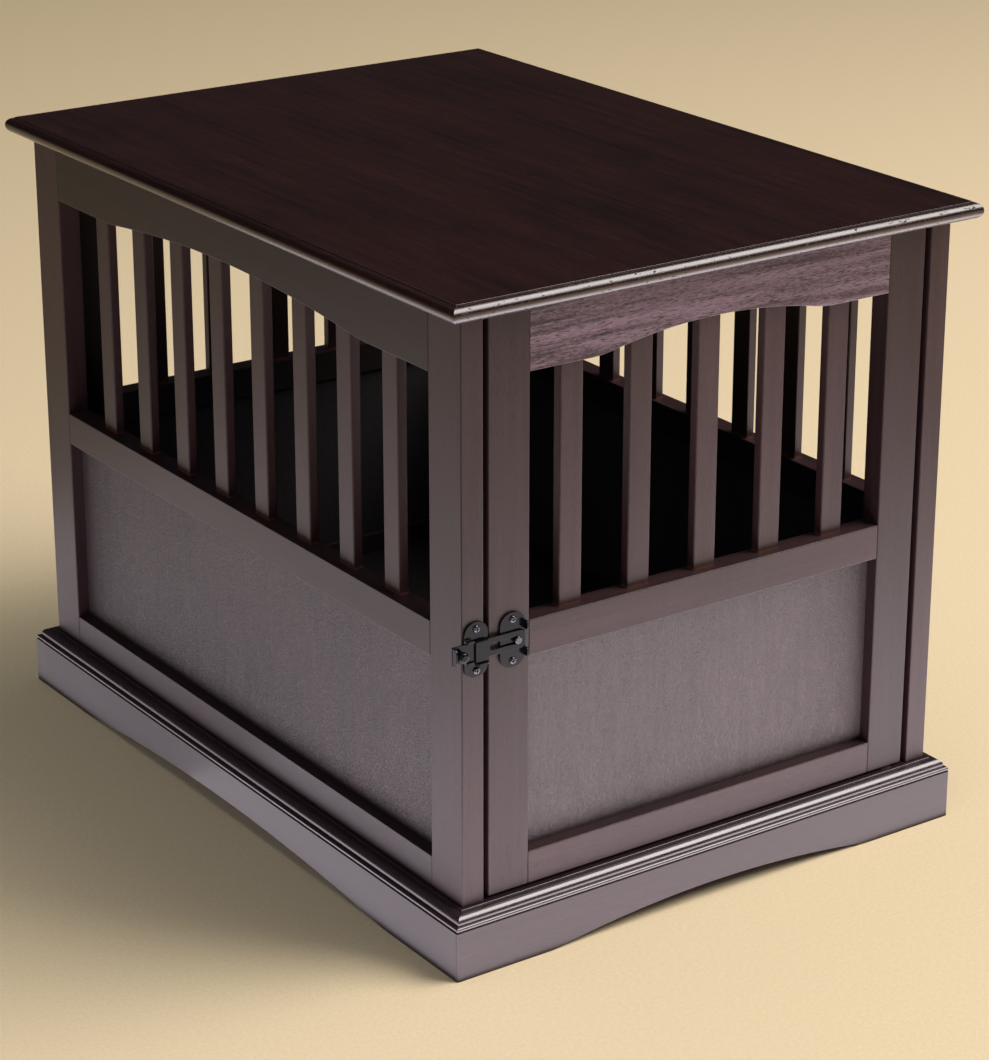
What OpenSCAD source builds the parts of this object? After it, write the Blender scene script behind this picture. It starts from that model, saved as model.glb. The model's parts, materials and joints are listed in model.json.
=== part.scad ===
// Slatted wooden pet crate that doubles as an end table.
// Millimetres, +Z up, door on the -Y face, origin at the bottom centre.

/* [Body] */
// Width of the body across the door face
body_w = 534; // [480:1:600]
// Depth of the body from the door face to the back
body_d = 756; // [680:1:840]
// Height to the top of the table
height = 610; // [560:1:660]
// Thickness of the side and back frames
frame_t = 22.5; // [18:0.5:26]

/* [Tabletop] */
// Thickness of the tabletop
top_t = 16; // [15:1:24]
// How far the tabletop stands past the body
overhang = 20.5; // [14:0.5:26]
// Radius of the two rounds that make the nose along the edge
nose_r = 7.4; // [4:0.2:7.4]
// Height of the small step above the nose
nose_step = 1; // [0.5:0.5:2]

/* [Base] */
// Height of the plinth boards
plinth_h = 47; // [36:1:60]
// Thickness of the plinth boards
plinth_t = 19; // [16:1:22]
// How far the plinth stands past the body
plinth_out = 18; // [14:1:20]
// Thickness of the moulded cap on the plinth
cap_t = 13; // [11:1:16]
// How far the cap reaches under the body
cap_in = 40; // [34:1:50]
// Height of the arch cut into each plinth board
plinth_rise = 15; // [8:1:20]
// Thickness of the floor panel
floor_t = 9; // [6:1:12]

/* [Frames] */
// Width of the stiles of the side frames
side_stile = 48; // [36:1:60]
// Width of the stiles of the door and back frame
door_stile = 42; // [34:1:50]
// Height of the top of the side and back bottom rails
low_rail_top = 90; // [80:1:100]
// Underside of the mid rails
mid_rail_low = 280; // [240:1:300]
// Top of the mid rails
mid_rail_top = 313; // [305:1:330]
// Underside of the top rails, beside the arch
top_rail_low = 535; // [500:1:545]
// Rise of the arch in the top rails
valance_rise = 14; // [8:1:18]
// Half the chord of the arch in the side rails
side_arch = 222; // [180:1:250]
// Half the chord of the arch in the door and back rails
door_arch = 122; // [90:1:140]
// Radius that eases each end of an arch
arch_ease = 120; // [60:10:200]

/* [Infill] */
// Width of a slat
slat_w = 24; // [16:1:30]
// Thickness of a slat
slat_t = 10; // [8:0.5:12]
// Distance between slat centres
slat_pitch = 73.5; // [60:0.5:76]
// Number of slats in a side frame
side_slats = 8; // [6:1:8]
// Number of slats in the door and in the back frame
door_slats = 5; // [3:1:5]
// Depth of the slats behind the frame's face
slat_recess = 9; // [5:0.5:11]
// How far slats and panels are let into the frame
tongue = 6.5; // [4:0.5:8]
// Thickness of the lower panels
panel_t = 5; // [4:0.5:6]
// Depth of the lower panels behind the frame's face
panel_recess = 12.5; // [8:0.5:14]

/* [Door] */
// Thickness of the door
door_t = 22; // [18:0.5:24]
// Gap beside the door on the latch side
latch_gap = 5; // [4:0.5:8]
// Gap beside the door on the hinge side
hinge_gap = 7; // [6:0.5:9]
// Gap under the door
door_under = 2.8; // [2:0.1:4]
// Gap over the door
door_over = 2.5; // [2:0.1:4]
// Top of the door's bottom rail
door_rail_top = 94; // [85:1:105]
// Radius of the pivot pins
pin_r = 3; // [2.5:0.5:4]
// Distance of the pivot from the door's hinge edge
pin_in = 11.5; // [10:0.5:14]

/* [Latch] */
// Height of the latch's centre line
latch_z = 300; // [290:1:303]
// Thickness of the latch plates
plate_t = 2; // [1.5:0.5:3]
// Height of the latch plates
plate_h = 50; // [44:1:56]
// Width of the plate on the post
post_plate_w = 24; // [20:1:24]
// Width of the plate on the door
door_plate_w = 26; // [22:1:28]
// Height of the sliding bar
bar_h = 16.4; // [12:0.2:18]
// Thickness of the sliding bar
bar_t = 2.2; // [1.5:0.1:3]
// How far the bar slides to free the post
bar_travel = 25.5; // [20:0.5:25.5]

/* [Hidden] */

$fn = 96;
cut = 1;
fit = 0.1;
run_fit = 0.05;

half_w = body_w / 2;
half_d = body_d / 2;
base_h = plinth_h + cap_t;
top_low = height - top_t;

back_w = body_w - 2 * frame_t;
door_w = back_w - latch_gap - hinge_gap;
door_x = (latch_gap - hinge_gap) / 2;
door_low = base_h + door_under;
door_high = top_low - door_over;

slat_low = mid_rail_top - tongue;
slat_high = top_rail_low + valance_rise + tongue;

pivot_x = door_x + door_w / 2 - pin_in;
pivot_y = -half_d + door_t / 2;
pin_grip = 12;
pin_reach = 17;
pin_bore = pin_reach + 1;

wood_dark = "#2b1e1d";
wood_frame = "#4e4644";
wood_panel = "#5c5557";
wood_inner = "#3a302e";
black_steel = "#2a2c33";
bright_steel = "#b9bcc0";
nylon = "#e6e4dc";

// ---------- placing ----------
// Each frame is drawn in its own plane: X along the frame, Y from its outer
// face inwards, Z up from the floor. These put it on its side of the body.
module on_front() { translate([0, -half_d, 0]) children(); }
module on_back() { translate([0, half_d, 0]) rotate(180) children(); }
module on_left() { translate([-half_w, 0, 0]) rotate(-90) children(); }
module on_right() { mirror([1, 0, 0]) on_left() children(); }

module block(low, high) { translate(low) cube(high - low); }

// ---------- arches ----------
// The void under a shallow arch on the line z = 0: a round arch whose two
// ends run out on an easing radius, so that no corner shows.
function arch_r(chord, rise) = (chord * chord + rise * rise) / (2 * rise);
module arch_void(chord, rise, ease) {
  r = arch_r(chord, rise);
  end_x = sqrt(2 * rise * (r + ease) - rise * rise);
  share = r / (r + ease);
  meet = [end_x * share, rise - r + (ease + r - rise) * share];
  intersection() {
    translate([0, rise - r]) circle(r, $fn = 360);
    translate([-chord, -cut]) square([2 * chord, rise + 2 * cut]);
  }
  for (s = [-1, 1]) scale([s, 1]) difference() {
    polygon([meet, [end_x, 0], [end_x, -cut], [meet[0], -cut]]);
    translate([end_x, ease]) circle(ease, $fn = 360);
  }
}
// Cuts the arch through a board that stands in a frame's plane.
module arch_cut(z, chord, rise, depth) {
  translate([0, depth + cut, z]) rotate([90, 0, 0])
    linear_extrude(depth + 2 * cut) arch_void(chord, rise, arch_ease);
}

// ---------- frames: stiles, rails, panel, slats ----------
function slat_x(i, count) = (i - (count - 1) / 2) * slat_pitch;

module stile(w, x_edge, z0, z1, depth, low_top, sign) {
  // x_edge is the frame's outer edge, and sign points from it inwards
  difference() {
    translate([sign > 0 ? x_edge : x_edge - w, 0, z0]) cube([w, depth, z1 - z0]);
    inner = x_edge + sign * w;
    translate([inner - (sign > 0 ? tongue + fit : cut), panel_recess - fit, low_top - tongue - fit])
      cube([tongue + fit + cut, panel_t + 2 * fit, mid_rail_low - low_top + 2 * (tongue + fit)]);
  }
}

module panel_groove(half, z0, z1) {
  block([-half - cut, panel_recess - fit, z0], [half + cut, panel_recess + panel_t + fit, z1]);
}

module slat_pockets(count, z0, z1) {
  for (i = [0:count - 1]) translate([slat_x(i, count) - slat_w / 2 - fit, slat_recess - fit, z0])
    cube([slat_w + 2 * fit, slat_t + 2 * fit, z1 - z0]);
}

module top_rail(half, z1, depth, chord, count) {
  difference() {
    block([-half, 0, top_rail_low], [half, depth, z1]);
    arch_cut(top_rail_low, chord, valance_rise, depth);
    slat_pockets(count, top_rail_low - cut, slat_high + fit);
  }
}

module mid_rail(half, depth, count) {
  difference() {
    block([-half, 0, mid_rail_low], [half, depth, mid_rail_top]);
    panel_groove(half, mid_rail_low - cut, mid_rail_low + tongue + fit);
    slat_pockets(count, slat_low - fit, mid_rail_top + cut);
  }
}

module bottom_rail(half, z0, z1, depth) {
  difference() {
    block([-half, 0, z0], [half, depth, z1]);
    panel_groove(half, z1 - tongue - fit, z1 + cut);
  }
}

module lower_panel(half, low_top) {
  block([-half - tongue, panel_recess, low_top - tongue],
        [half + tongue, panel_recess + panel_t, mid_rail_low + tongue]);
}

module slat(i, count) {
  translate([slat_x(i, count) - slat_w / 2, slat_recess, slat_low])
    cube([slat_w, slat_t, slat_high - slat_low]);
}
module slats(count) { for (i = [0:count - 1]) slat(i, count); }

// ---------- tabletop ----------
module top_section(half) {
  rim_t = top_t - nose_step;
  flat = half - nose_r;
  translate([-flat, 0]) square([2 * flat, top_t]);
  translate([-half, nose_r]) square([2 * half, rim_t - 2 * nose_r]);
  for (s = [-1, 1], z = [nose_r, rim_t - nose_r]) translate([s * flat, z]) circle(nose_r);
}
cleat = 20;
cleat_half = 300;
cleat_x = back_w / 2 - cleat / 2;
screw_r = 2;
screw_head_r = 4;
screw_drive = [0.6 * screw_head_r, 0.9, 1.5];
cleat_screw_y = 240;
screw_head_t = 3;
screw_in = 12;
module at_cleat_screws() {
  for (s = [-1, 1], y = [-cleat_screw_y, 0, cleat_screw_y])
    translate([s * cleat_x, y, top_low - cleat]) children();
}

module tabletop() {
  color(wood_dark) difference() {
    intersection() {
      translate([0, half_d + overhang, top_low]) rotate([90, 0, 0])
        linear_extrude(body_d + 2 * overhang) top_section(half_w + overhang);
      translate([-half_w - overhang, 0, top_low]) rotate([90, 0, 90])
        linear_extrude(body_w + 2 * overhang) top_section(half_d + overhang);
    }
    at_cleat_screws() cylinder(h = cleat + screw_in, r = screw_r);
    translate([pivot_x, pivot_y, top_low - cut]) cylinder(h = pin_grip + cut, r = pin_r);
  }
}

module top_cleats() {
  color(wood_inner) difference() {
    for (s = [-1, 1]) translate([s * cleat_x - cleat / 2, -cleat_half, top_low - cleat])
      cube([cleat, 2 * cleat_half, cleat]);
    at_cleat_screws() {
      translate([0, 0, -cut]) cylinder(h = screw_head_t + cut, r = screw_head_r);
      cylinder(h = cleat + cut, r = screw_r);
    }
  }
}

module cleat_screws() {
  color(bright_steel) at_cleat_screws() difference() {
    union() {
      cylinder(h = screw_head_t, r = screw_head_r);
      cylinder(h = cleat + screw_in, r = screw_r);
    }
    drive_cross(screw_drive.x, screw_drive.y, screw_drive.z);
  }
}

// A cross recess, cut upwards from z = 0
module drive_cross(reach, wide, deep) {
  for (a = [0, 90]) rotate(a) translate([-reach, -wide / 2, -cut]) cube([2 * reach, wide, deep + cut]);
}

// ---------- base ----------
// Outline of a board that runs along one side: mitred at its +X end, and
// mitred or square at its -X end.
module run_outline(half, out, inside, mitre_both, square_x) {
  polygon([
    [half + out, -out], [half - inside, inside],
    mitre_both ? [-half + inside, inside] : [-square_x, inside],
    mitre_both ? [-half - out, -out] : [-square_x, -out]
  ]);
}

plinth_square = half_d + plinth_out - plinth_t;
plinth_front_arch = 183;
plinth_side_arch = 280;
module plinth_board(half, chord, mitre_both) {
  difference() {
    linear_extrude(plinth_h)
      run_outline(half, plinth_out, plinth_t - plinth_out, mitre_both, plinth_square);
    translate([0, -plinth_out, 0]) arch_cut(0, chord, plinth_rise, plinth_t);
  }
}
module plinth_front() { color(wood_frame) on_front() plinth_board(half_w, plinth_front_arch, true); }
module plinth_left() { color(wood_frame) on_left() plinth_board(half_d, plinth_side_arch, false); }
module plinth_right() { color(wood_frame) on_right() plinth_board(half_d, plinth_side_arch, false); }
module plinth_back() {
  color(wood_frame) on_back() difference() {
    block([-half_w - plinth_out, -plinth_out, 0], [half_w + plinth_out, plinth_t - plinth_out, plinth_h]);
    translate([0, -plinth_out, 0]) arch_cut(0, plinth_front_arch, plinth_rise, plinth_t);
  }
}

// The cap's section, X inwards and Y up: a narrow ledge, a step, a rounded
// bead and a thin lip with a rounded nose.
ledge_out = 3.8;
ledge_step = 1;
bead_out = 6.8;
bead_r = 7;
lip_t = 4.4;
lip_out = plinth_out - 0.6;
module cap_section() {
  translate([-ledge_out, 0]) square([ledge_out + cap_in, cap_t]);
  translate([-bead_out, 0]) square([bead_out, cap_t - ledge_step]);
  intersection() {
    translate([-bead_out, cap_t - ledge_step - bead_r]) circle(bead_r);
    translate([-plinth_out, 0]) square([plinth_out, cap_t]);
  }
  translate([-lip_out + lip_t / 2, 0]) square([lip_out, lip_t]);
  translate([-lip_out + lip_t / 2, lip_t / 2]) circle(lip_t / 2);
}
module cap_run(half) {
  translate([0, 0, plinth_h]) intersection() {
    translate([-half - plinth_out, 0, 0]) rotate([90, 0, 90])
      linear_extrude(2 * (half + plinth_out)) cap_section();
    linear_extrude(cap_t) run_outline(half, plinth_out, cap_in, true, 0);
  }
}
module cap_front() {
  color(wood_frame) difference() {
    on_front() cap_run(half_w);
    translate([pivot_x, pivot_y, base_h - pin_grip]) cylinder(h = pin_grip + cut, r = pin_r);
  }
}
module cap_back() { color(wood_frame) on_back() cap_run(half_w); }
module cap_left() { color(wood_frame) on_left() cap_run(half_d); }
module cap_right() { color(wood_frame) on_right() cap_run(half_d); }

corner_block = 30;
block_low = 5;
module corner_blocks() {
  inner_x = half_w + plinth_out - plinth_t;
  inner_y = half_d + plinth_out - plinth_t;
  color(wood_inner) for (sx = [-1, 1], sy = [-1, 1])
    translate([sx * (inner_x - corner_block / 2), sy * (inner_y - corner_block / 2), block_low])
      translate([-corner_block / 2, -corner_block / 2, 0])
        cube([corner_block, corner_block, plinth_h - block_low]);
}

batten_w = 60;
module floor_batten() {
  color(wood_inner)
    block([-half_w + cap_in, -batten_w / 2, plinth_h], [half_w - cap_in, batten_w / 2, base_h]);
}

floor_side = 1;
floor_front = 30;
module floor_panel() {
  color(wood_inner) block(
    [-back_w / 2 + floor_side, -half_d + floor_front, base_h],
    [back_w / 2 - floor_side, half_d - frame_t - floor_side, base_h + floor_t]);
}

// ---------- side frames ----------
side_half = half_d - side_stile;
dowel_r = 4;
dowel_reach = 18;
dowel_end = 1;
dowel_heights = [150, 500];
module dowel_holes() {
  for (s = [-1, 1], z = dowel_heights)
    translate([s * back_w / 2, half_d - frame_t / 2, z]) rotate([0, 90, 0])
      cylinder(h = 2 * dowel_reach, r = dowel_r, center = true);
}
module side_stile_at(sign) {
  stile(side_stile, -sign * half_d, base_h, top_low, frame_t, low_rail_top, sign);
}

module left_front_stile() {
  color(wood_frame) difference() {
    on_left() side_stile_at(-1);
    at_post_screws() cylinder(h = latch_screw_in, r = latch_screw_r);
  }
}
module left_rear_stile() {
  color(wood_frame) difference() { on_left() side_stile_at(1); dowel_holes(); }
}
module left_top_rail() {
  color(wood_frame) on_left() top_rail(side_half, top_low, frame_t, side_arch, side_slats);
}
module left_mid_rail() { color(wood_frame) on_left() mid_rail(side_half, frame_t, side_slats); }
module left_bottom_rail() {
  color(wood_frame) on_left() bottom_rail(side_half, base_h, low_rail_top, frame_t);
}
module left_panel() { color(wood_panel) on_left() lower_panel(side_half, low_rail_top); }
module left_slats() { color(wood_frame) on_left() slats(side_slats); }

module right_front_stile() { color(wood_frame) on_right() side_stile_at(-1); }
module right_rear_stile() {
  color(wood_frame) difference() { on_right() side_stile_at(1); dowel_holes(); }
}
module right_top_rail() {
  color(wood_frame) on_right() top_rail(side_half, top_low, frame_t, side_arch, side_slats);
}
module right_mid_rail() { color(wood_frame) on_right() mid_rail(side_half, frame_t, side_slats); }
module right_bottom_rail() {
  color(wood_frame) on_right() bottom_rail(side_half, base_h, low_rail_top, frame_t);
}
module right_panel() { color(wood_panel) on_right() lower_panel(side_half, low_rail_top); }
module right_slats() { color(wood_frame) on_right() slats(side_slats); }

// ---------- back frame ----------
back_half = back_w / 2 - door_stile;
module back_stile_at(sign) {
  color(wood_frame) difference() {
    on_back() stile(door_stile, -sign * back_w / 2, base_h, top_low, frame_t, low_rail_top, sign);
    dowel_holes();
  }
}
module back_left_stile() { back_stile_at(-1); }
module back_right_stile() { back_stile_at(1); }
module back_top_rail() {
  color(wood_frame) on_back() top_rail(back_half, top_low, frame_t, door_arch, door_slats);
}
module back_mid_rail() { color(wood_frame) on_back() mid_rail(back_half, frame_t, door_slats); }
module back_bottom_rail() {
  color(wood_frame) on_back() bottom_rail(back_half, base_h, low_rail_top, frame_t);
}
module back_panel() { color(wood_panel) on_back() lower_panel(back_half, low_rail_top); }
module back_slats() { color(wood_frame) on_back() slats(door_slats); }
module back_dowels() {
  color(wood_inner) for (s = [-1, 1], z = dowel_heights)
    translate([s * back_w / 2, half_d - frame_t / 2, z]) rotate([0, 90, 0])
      cylinder(h = 2 * (dowel_reach - dowel_end), r = dowel_r, center = true);
}

// ---------- door ----------
door_half = door_w / 2 - door_stile;
module on_door() { translate([door_x, 0, 0]) on_front() children(); }
module door_stile_at(sign) {
  on_door() stile(door_stile, -sign * door_w / 2, door_low, door_high, door_t, door_rail_top, sign);
}
module door_latch_stile() {
  color(wood_frame) difference() {
    door_stile_at(1);
    at_door_screws() cylinder(h = latch_screw_in, r = latch_screw_r);
    at_guide_pin() cylinder(h = guide_in, r = guide_r);
  }
}
module door_hinge_stile() {
  color(wood_frame) difference() {
    door_stile_at(-1);
    translate([pivot_x, pivot_y, door_low - cut]) cylinder(h = pin_bore + cut, r = pin_r + run_fit);
    translate([pivot_x, pivot_y, door_high - pin_bore])
      cylinder(h = pin_bore + cut, r = pin_r + run_fit);
  }
}
module door_top_rail() {
  color(wood_frame) on_door() top_rail(door_half, door_high, door_t, door_arch, door_slats);
}
module door_mid_rail() { color(wood_frame) on_door() mid_rail(door_half, door_t, door_slats); }
module door_bottom_rail() {
  color(wood_frame) on_door() bottom_rail(door_half, door_low, door_rail_top, door_t);
}
module door_panel() { color(wood_panel) on_door() lower_panel(door_half, door_rail_top); }
module door_slat(i) { color(wood_frame) on_door() slat(i, door_slats); }

// ---------- pivots ----------
washer_r = 7;
washer_gap = 0.3;
module pivot_pin_bottom() {
  color(bright_steel) translate([pivot_x, pivot_y, base_h - pin_grip])
    cylinder(h = pin_grip + door_under + pin_reach, r = pin_r);
}
module pivot_pin_top() {
  color(bright_steel) translate([pivot_x, pivot_y, door_high - pin_reach])
    cylinder(h = pin_reach + door_over + pin_grip, r = pin_r);
}
module washer(thick) {
  difference() {
    cylinder(h = thick, r = washer_r);
    translate([0, 0, -cut]) cylinder(h = thick + 2 * cut, r = pin_r + 2 * run_fit);
  }
}
module pivot_washers() {
  color(nylon) translate([pivot_x, pivot_y, 0]) {
    translate([0, 0, base_h]) washer(door_under - washer_gap);
    translate([0, 0, door_high + washer_gap]) washer(door_over - washer_gap);
  }
}

// ---------- latch ----------
// The latch is drawn flat, X along the bar, Y up the door and Z out of the
// front face, with Y = 0 on the bar's centre line.
module on_latch() { translate([0, -half_d, latch_z]) rotate([90, 0, 0]) children(); }

post_plate_x = -half_w + 13.5;
door_plate_x = -half_w + 51;
bar_left = -half_w - 12.3;
bar_right = -half_w + 62.8;
bar_gap = 0.3;
bar_z = plate_t + bar_gap;
bar_face = bar_z + bar_t;
slot_r = 3.3;
guide_r = 3;
guide_head_r = 3.9;
guide_in = 10;
guide_x = door_plate_x + 3.7;
screw_rise = 19;
latch_screw_r = 1.6;
latch_screw_in = 14;
latch_head_r = 3.4;
latch_head_t = 1.8;
guide_head_t = 1.4;
dome_r = 5.2;
latch_drive = [2.1, 0.8, 1.1];
ear_t = 2;
ear_high = 6;
ear_reach = 16;
lug_w = 8;
lug_t = 2;
lug_high = 4.5;
guard = bar_h / 2 + 0.4;

shoulder_share = 0.62;

// A plate with round shoulders at its two ends
module plate_outline(w) {
  shoulder = w * shoulder_share;
  intersection() {
    translate([-w / 2, -plate_h / 2]) square([w, plate_h]);
    union() {
      for (s = [-1, 1]) translate([0, s * (plate_h / 2 - shoulder)]) circle(shoulder);
      translate([-w / 2, -plate_h / 2 + shoulder]) square([w, plate_h - 2 * shoulder]);
    }
  }
}
module screw_clearance() {
  for (s = [-1, 1]) translate([0, s * screw_rise, -cut])
    cylinder(h = plate_t + 2 * cut, r = latch_screw_r + fit);
}
// Screw axes, with Z pointing into the wood from its face
module at_screws(x) {
  on_latch() for (s = [-1, 1]) translate([x, s * screw_rise, 0]) mirror([0, 0, 1]) children();
}
module at_post_screws() { at_screws(post_plate_x) children(); }
module at_door_screws() { at_screws(door_plate_x) children(); }
module at_guide_pin() { on_latch() translate([guide_x, 0, 0]) mirror([0, 0, 1]) children(); }

module latch_screw() {
  color(black_steel) difference() {
    union() {
      cylinder(h = latch_screw_in, r = latch_screw_r);
      translate([0, 0, -plate_t]) cylinder(h = plate_t + cut, r = latch_screw_r);
      intersection() {
        translate([0, 0, -plate_t - latch_head_t]) cylinder(h = latch_head_t, r = latch_head_r);
        translate([0, 0, -plate_t + dome_r - latch_head_t]) sphere(dome_r);
      }
    }
    translate([0, 0, -plate_t - latch_head_t]) drive_cross(latch_drive.x, latch_drive.y, latch_drive.z);
  }
}
module latch_post_screws() { at_post_screws() latch_screw(); }
module latch_door_screws() { at_door_screws() latch_screw(); }

module latch_post_plate() {
  color(black_steel) on_latch() translate([post_plate_x, 0, 0]) {
    difference() {
      linear_extrude(plate_t) plate_outline(post_plate_w);
      screw_clearance();
    }
    for (s = [-1, 1]) translate([-post_plate_w / 2, s > 0 ? guard : -guard - lug_t, plate_t - cut])
      cube([lug_w, lug_t, lug_high + cut]);
  }
}

// The plate on the door has two ears at its edge, above and below the bar
module latch_door_plate() {
  color(black_steel) on_latch() difference() {
    translate([door_plate_x, 0, 0]) {
      difference() {
        linear_extrude(plate_t) plate_outline(door_plate_w);
        screw_clearance();
      }
      for (s = [-1, 1])
        translate([door_plate_w / 2 - ear_t, s > 0 ? guard : -ear_reach, plate_t - cut])
          cube([ear_t, ear_reach - guard, ear_high + cut]);
    }
    translate([guide_x, 0, -cut]) cylinder(h = plate_t + 2 * cut, r = guide_r);
  }
}

// The guide pin stands in the bar's slot, and its head keeps the bar on
module latch_guide_pin() {
  head_z = bar_face + bar_gap;
  color(black_steel) on_latch() translate([guide_x, 0, 0]) {
    translate([0, 0, -guide_in]) cylinder(h = guide_in + head_z, r = guide_r);
    translate([0, 0, head_z]) intersection() {
      cylinder(h = guide_head_t, r = guide_head_r);
      translate([0, 0, guide_head_t - dome_r]) sphere(dome_r);
    }
  }
}

knob_x = bar_left + 7;
knob_r = 5;
knob_h = 9;
knob_neck_r = 3.6;
knob_neck_h = 3;
knob_shank_r = 2;
lip_deep = 6;
lip_w = 2;
bar_corner = 4;
slot_left = guide_x - bar_travel;
module bar_outline() {
  difference() {
    union() {
      translate([bar_left, -bar_h / 2]) square([bar_right - bar_left - bar_corner, bar_h]);
      translate([bar_right - bar_corner - cut, -bar_h / 2 + bar_corner])
        square([bar_corner + cut, bar_h - 2 * bar_corner]);
      for (s = [-1, 1])
        translate([bar_right - bar_corner, s * (bar_h / 2 - bar_corner)]) circle(bar_corner);
    }
    for (x = [slot_left, guide_x]) translate([x, 0]) circle(slot_r);
    translate([slot_left, -slot_r]) square([bar_travel, 2 * slot_r]);
  }
}
pull_left = post_plate_x - 3;
pull_w = 13;
pull_t = 1.8;
pull_low = bar_h / 2 + 4.6;
pull_boss = 1.6;
pull_rivet_rise = 4.6;
pull_bend = 2.4;
module latch_bar() {
  color(black_steel) on_latch() difference() {
    union() {
      translate([0, 0, bar_z]) linear_extrude(bar_t) bar_outline();
      intersection() {
        translate([bar_left, -bar_h / 2, bar_z]) cube([lip_w, bar_h, bar_t + lip_deep]);
        translate([bar_left - cut, 0, bar_z]) rotate([0, 90, 0])
          cylinder(h = lip_w + 2 * cut, r = bar_h / 2);
      }
    }
    translate([knob_x, 0, bar_z - cut]) cylinder(h = bar_t + 2 * cut, r = knob_shank_r);
    at_pull_rivets() cylinder(h = bar_t + 2 * cut, r = pull_boss);
  }
}
module at_pull_rivets() {
  for (s = [-1, 1]) translate([pull_left + pull_w / 2, s * pull_rivet_rise, bar_z - cut]) children();
}
module latch_knob() {
  color(black_steel) on_latch() translate([knob_x, 0, 0]) {
    translate([0, 0, bar_z]) cylinder(h = bar_t, r = knob_shank_r);
    translate([0, 0, bar_face]) intersection() {
      union() {
        cylinder(h = knob_h, r = knob_neck_r);
        translate([0, 0, knob_neck_h]) cylinder(h = knob_h - knob_neck_h, r = knob_r);
      }
      translate([0, 0, -knob_neck_h]) sphere(knob_h + knob_neck_h);
    }
  }
}
// The raised pull on the bar: a strip with a lower end bent outwards
module latch_pull() {
  color(black_steel) on_latch() {
    translate([pull_left, -pull_low, bar_face]) cube([pull_w, pull_low + bar_h / 2, pull_t]);
    translate([pull_left, -pull_low, bar_face]) cube([pull_w, pull_t, pull_t + pull_bend]);
    translate([0, 0, cut]) at_pull_rivets() cylinder(h = bar_t, r = pull_boss);
  }
}

tabletop();
top_cleats();
cleat_screws();
plinth_front();
plinth_left();
plinth_right();
plinth_back();
cap_front();
cap_left();
cap_right();
cap_back();
corner_blocks();
floor_batten();
floor_panel();
left_front_stile();
left_rear_stile();
left_top_rail();
left_mid_rail();
left_bottom_rail();
left_panel();
left_slats();
right_front_stile();
right_rear_stile();
right_top_rail();
right_mid_rail();
right_bottom_rail();
right_panel();
right_slats();
back_left_stile();
back_right_stile();
back_top_rail();
back_mid_rail();
back_bottom_rail();
back_panel();
back_slats();
back_dowels();
door_latch_stile();
door_hinge_stile();
door_top_rail();
door_mid_rail();
door_bottom_rail();
door_panel();
door_slat(0);  // door_slat_1
door_slat(1);  // door_slat_2
door_slat(2);  // door_slat_3
door_slat(3);  // door_slat_4
door_slat(4);  // door_slat_5
pivot_pin_bottom();
pivot_pin_top();
pivot_washers();
latch_post_plate();
latch_post_screws();
latch_door_plate();
latch_door_screws();
latch_guide_pin();
latch_bar();
latch_knob();
latch_pull();
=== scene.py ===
# %% [markdown]
# # A slatted wooden pet crate that doubles as an end table
# The crate is joinery: stiles and rails, slats, thin panels, a moulded base and a tabletop with a
# rounded nose. Almost every piece is a sawn board, so the lesson is how to make boards that look
# like boards: a true size, eased arrises that catch the light, and a stain whose grain follows
# each board. The exact frame is loaded first, and every size below comes from it.
# %% Load the frame
import json
import math
import random

import bmesh
import bpy
from mathutils import Matrix, Vector

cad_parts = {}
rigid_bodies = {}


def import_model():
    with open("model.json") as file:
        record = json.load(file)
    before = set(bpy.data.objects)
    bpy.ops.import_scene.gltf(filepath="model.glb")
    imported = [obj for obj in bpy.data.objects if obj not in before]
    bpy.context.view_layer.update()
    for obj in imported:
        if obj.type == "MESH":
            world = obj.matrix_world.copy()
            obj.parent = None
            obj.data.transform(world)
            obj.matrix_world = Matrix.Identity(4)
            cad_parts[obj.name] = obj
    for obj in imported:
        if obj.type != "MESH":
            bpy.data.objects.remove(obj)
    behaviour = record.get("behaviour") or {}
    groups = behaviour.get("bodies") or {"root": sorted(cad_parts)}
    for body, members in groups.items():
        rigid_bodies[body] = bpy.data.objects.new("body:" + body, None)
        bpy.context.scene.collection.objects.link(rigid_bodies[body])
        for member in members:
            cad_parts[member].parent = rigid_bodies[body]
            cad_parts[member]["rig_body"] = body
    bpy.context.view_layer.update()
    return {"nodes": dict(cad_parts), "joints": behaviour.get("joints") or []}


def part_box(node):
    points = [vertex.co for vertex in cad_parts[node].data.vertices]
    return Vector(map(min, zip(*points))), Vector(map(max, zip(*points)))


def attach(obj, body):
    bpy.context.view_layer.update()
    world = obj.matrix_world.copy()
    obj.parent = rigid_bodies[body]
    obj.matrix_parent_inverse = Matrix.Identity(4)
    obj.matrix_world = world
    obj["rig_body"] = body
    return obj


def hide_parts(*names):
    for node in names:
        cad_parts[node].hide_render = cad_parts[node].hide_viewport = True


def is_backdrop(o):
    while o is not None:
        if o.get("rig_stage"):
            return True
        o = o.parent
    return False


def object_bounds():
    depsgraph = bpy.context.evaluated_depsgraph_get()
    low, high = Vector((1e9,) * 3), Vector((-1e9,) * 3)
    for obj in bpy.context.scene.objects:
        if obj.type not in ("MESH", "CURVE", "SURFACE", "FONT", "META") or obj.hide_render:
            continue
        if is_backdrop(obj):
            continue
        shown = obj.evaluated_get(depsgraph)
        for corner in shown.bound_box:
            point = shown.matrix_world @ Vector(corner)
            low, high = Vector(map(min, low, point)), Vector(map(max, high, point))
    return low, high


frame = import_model()

# %% [markdown]
# ## Hand tools
# Operators act on whatever is selected, so each tool below starts by selecting only what it
# needs. Faces and edges are chosen by where they are, because a script has no mouse to click with.
# %% Selecting
MM = 0.001
TINY = 0.00002


def only(piece):
    """Selects one object and nothing else."""
    bpy.ops.object.select_all(action="DESELECT")
    piece.select_set(True)
    bpy.context.view_layer.objects.active = piece


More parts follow.
